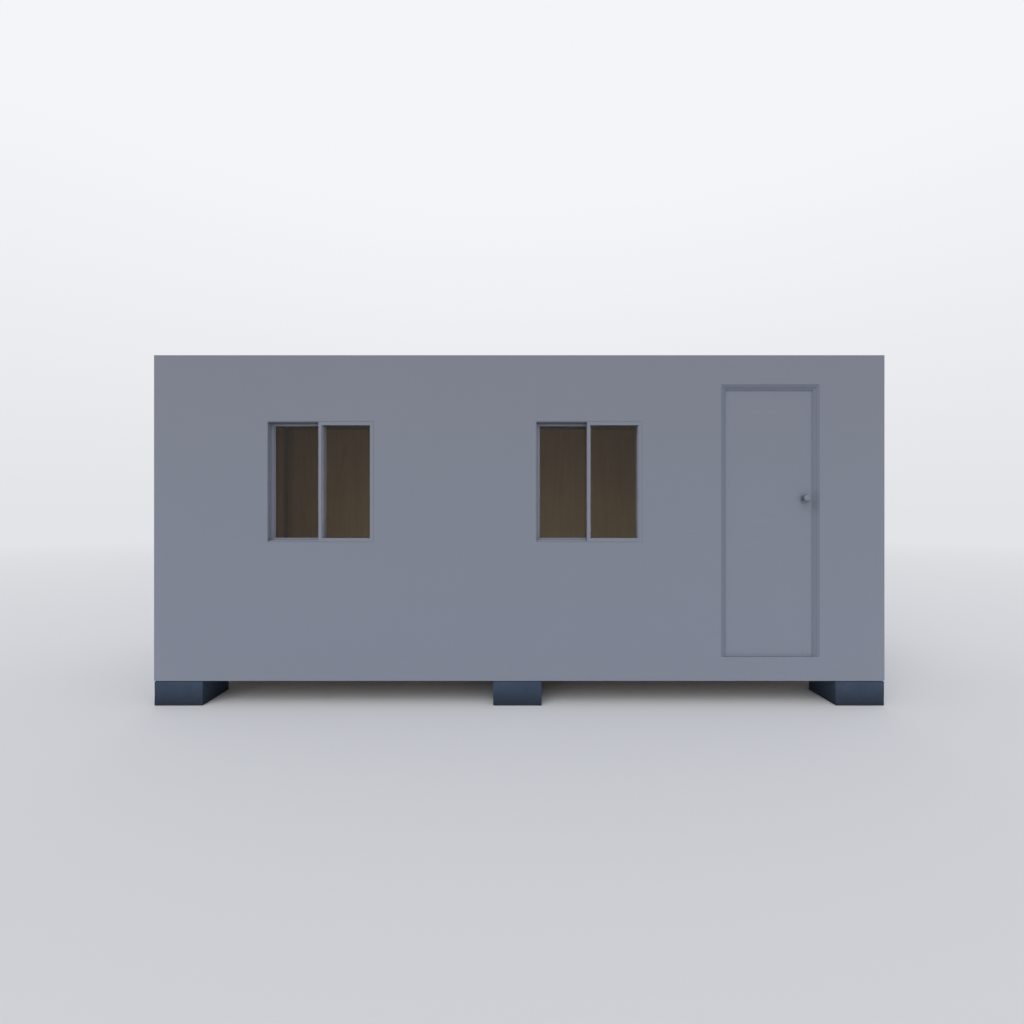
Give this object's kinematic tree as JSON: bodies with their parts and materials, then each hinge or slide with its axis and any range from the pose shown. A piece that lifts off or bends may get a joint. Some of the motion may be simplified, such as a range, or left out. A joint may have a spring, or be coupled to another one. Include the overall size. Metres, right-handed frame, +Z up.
{
  "type": "portable site cabin",
  "caption": "Flat-sided insulated site cabin with sliding windows and a hinged door in its front, on a steel chassis that stands on square concrete pads.",
  "frame": {"origin": "at ground level under the middle of the cabin", "axes": "+X along the front to the right as seen from outside, +Y from the front to the rear, +Z up"},
  "size_m": [6, 2.461, 2.88],
  "materials": {
    "pad_concrete": "cast concrete, matt, slightly pitted",
    "chassis_steel": "dark primer on rolled steel",
    "joist_steel": "galvanised",
    "floor_board": "plywood",
    "floor_vinyl": "vinyl sheet",
    "wall_skin": "matt pale grey coating",
    "inner_lining": "brown faced board",
    "ceiling_board": "pale faced board",
    "roof_timber": "sawn softwood",
    "roof_metal": "coated ribbed sheet",
    "capping_metal": "matt pale grey coating",
    "spout_plastic": "grey tube",
    "window_frame": "coated aluminium",
    "window_sash": "coated aluminium",
    "window_glass": "clear with a faint bronze tint",
    "door_casing": "satin paint",
    "door_paint": "matt pale grey coating",
    "threshold_metal": "grooved, worn",
    "hinge_steel": "satin",
    "latch_steel": "satin",
    "knob_metal": "satin, lightly turned",
    "seal_rubber": "black gaskets and seals",
    "pale_seal": "pale grey seals and brush strips",
    "trim_plastic": "dark brown cover strips in the room",
    "screw_zinc": "zinc-plated screws and rivets"
  },
  "bodies": {
    "cabin": {"pad_front_left": "pad_concrete", "pad_front_middle": "pad_concrete", "pad_front_right": "pad_concrete", "pad_rear_left": "pad_concrete", "pad_rear_middle": "pad_concrete", "pad_rear_right": "pad_concrete", "chassis_long_rails": "chassis_steel", "chassis_end_rails": "chassis_steel", "floor_joists": "joist_steel", "floor_deck": "floor_board", "floor_covering": "floor_vinyl", "front_wall": "wall_skin", "front_wall_over_door": "wall_skin", "front_wall_under_door": "wall_skin", "front_wall_right_pier": "wall_skin", "rear_wall": "wall_skin", "left_end_wall": "wall_skin", "right_end_wall": "wall_skin", "front_lining": "inner_lining", "rear_lining": "inner_lining", "end_linings": "inner_lining", "ceiling": "ceiling_board", "roof_joists": "roof_timber", "roof_sheet": "roof_metal", "long_roof_edges": "wall_skin", "end_roof_edges": "wall_skin", "roof_capping": "capping_metal", "rain_spouts": "spout_plastic", "left_window_frame": "window_frame", "left_window_outer_sash": "window_sash", "left_window_inner_sash": "window_sash", "right_window_frame": "window_frame", "right_window_outer_sash": "window_sash", "right_window_inner_sash": "window_sash", "window_panes": "window_glass", "door_frame": "door_casing", "door_threshold": "threshold_metal", "frame_hinge_plates": "hinge_steel", "strike_plate": "latch_steel"},
    "door": {"door_leaf": "door_paint", "leaf_hinge_plates": "hinge_steel", "latch_plate": "latch_steel", "door_roses": "knob_metal"},
    "knobs": {"outer_knob": "knob_metal", "inner_knob": "knob_metal"}
  },
  "joints": [
    {"name": "door_swing", "type": "hinge", "parent": "cabin", "child": "door", "pos_m": [1.6885, -1.118, 1.5], "axis": [0, 0, 1], "range_deg": [0, 100]},
    {"name": "knob_turn", "type": "hinge", "parent": "door", "child": "knobs", "pos_m": [2.357, -1.149, 1.706], "axis": [0, -1, 0], "range_deg": [-60, 60], "stiffness_Nm_per_rad": 0.4}
  ]
}
